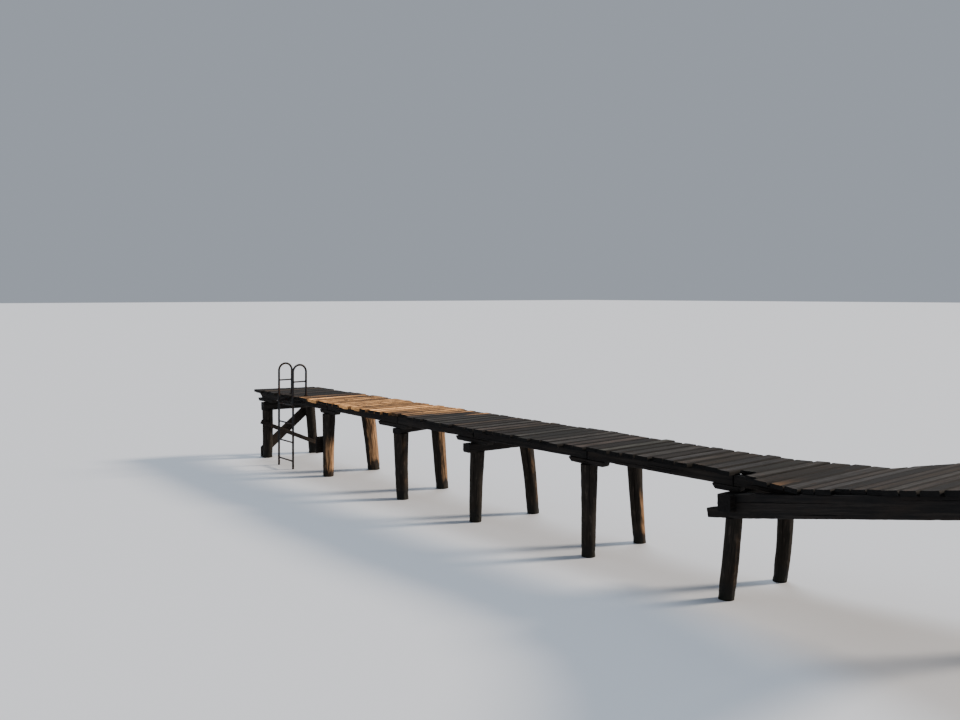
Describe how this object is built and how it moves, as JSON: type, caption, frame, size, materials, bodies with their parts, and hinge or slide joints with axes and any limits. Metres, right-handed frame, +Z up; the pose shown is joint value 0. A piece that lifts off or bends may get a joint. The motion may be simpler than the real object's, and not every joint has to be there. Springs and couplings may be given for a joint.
{
  "type": "wooden jetty",
  "caption": "Narrow wooden jetty on round posts in the water, with cross-laid boards, a pipe ladder near its braced end and a splayed ramp up to the bank.",
  "frame": {"origin": "middle of the jetty's length and width, at the water's surface, where the posts are cut off", "axes": "+X along the jetty from the lake end to the bank, +Y to the far side, away from the ladder, +Z up"},
  "size_m": [12.6184, 2.65, 1.6792],
  "materials": {
    "board": "weathered grey-brown boards",
    "timber": "old dark hardwood, dry and cracked",
    "log": "round posts with worn bark, wet at the foot",
    "pipe": "rusty dark pipe"
  },
  "bodies": {
    "root": {"post_1_near": "log", "post_2_near": "log", "post_3_near": "log", "post_4_near": "log", "post_5_near": "log", "post_6_near": "log", "post_7_near": "log", "post_1_far": "log", "post_2_far": "log", "post_3_far": "log", "post_4_far": "log", "post_5_far": "log", "post_6_far": "log", "post_7_far": "log", "headstock_1": "timber", "headstock_3": "timber", "headstock_4": "timber", "headstock_6": "timber", "headstock_7": "timber", "deck_bay_1": "board", "deck_bay_2": "board", "deck_bay_3": "board", "deck_bay_4": "board", "deck_bay_5": "board", "corbels_near": "timber", "corbels_far": "timber", "ramp_corbel": "timber", "stringers_near": "timber", "stringers_far": "timber", "landing_deck": "board", "ramp_deck": "board", "ramp_beam_near": "timber", "ramp_beam_far": "timber", "ramp_joist": "timber", "landing_bearer": "timber", "end_brace": "timber", "end_rail": "timber", "old_plank_end": "timber", "ladder_rail_left": "pipe", "ladder_rail_right": "pipe", "ladder_rungs": "pipe", "ladder_grab_bars": "pipe", "ladder_brackets": "pipe"}
  },
  "joints": []
}
